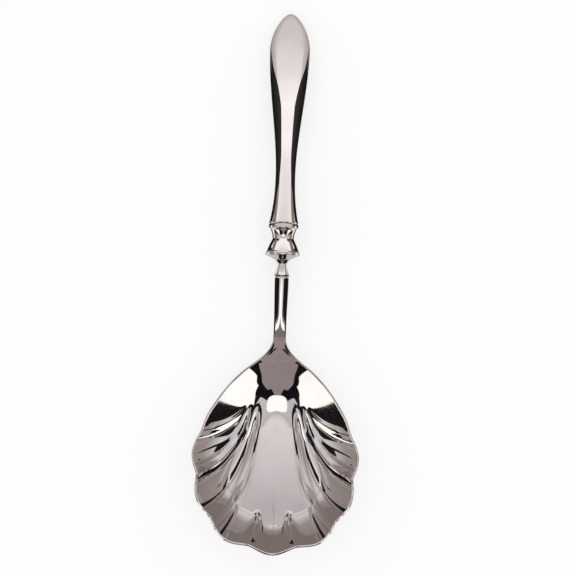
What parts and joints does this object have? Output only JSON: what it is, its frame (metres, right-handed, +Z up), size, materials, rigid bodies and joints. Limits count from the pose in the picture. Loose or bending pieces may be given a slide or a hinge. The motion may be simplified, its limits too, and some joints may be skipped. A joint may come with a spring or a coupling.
{
  "type": "serving spoon",
  "caption": "Hollow-handled serving spoon with a fluted shell bowl, a slender shank, a flared bolster, a waisted ferrule and a plain rounded handle.",
  "frame": {"origin": "middle of the spoon's length and width, on the table that it lies on", "axes": "+Y along the spoon towards the handle's end, +Z up out of the bowl, +X across the bowl"},
  "size_m": [0.0708, 0.2296, 0.0191],
  "materials": {
    "polished_silver_plate": "polished",
    "handle_cement": "matte"
  },
  "bodies": {
    "root": {"shell_bowl": "polished_silver_plate", "bolster_tang": "polished_silver_plate", "ferrule": "polished_silver_plate", "handle_front_shell": "polished_silver_plate", "handle_back_shell": "polished_silver_plate", "handle_filler": "handle_cement"}
  },
  "joints": []
}
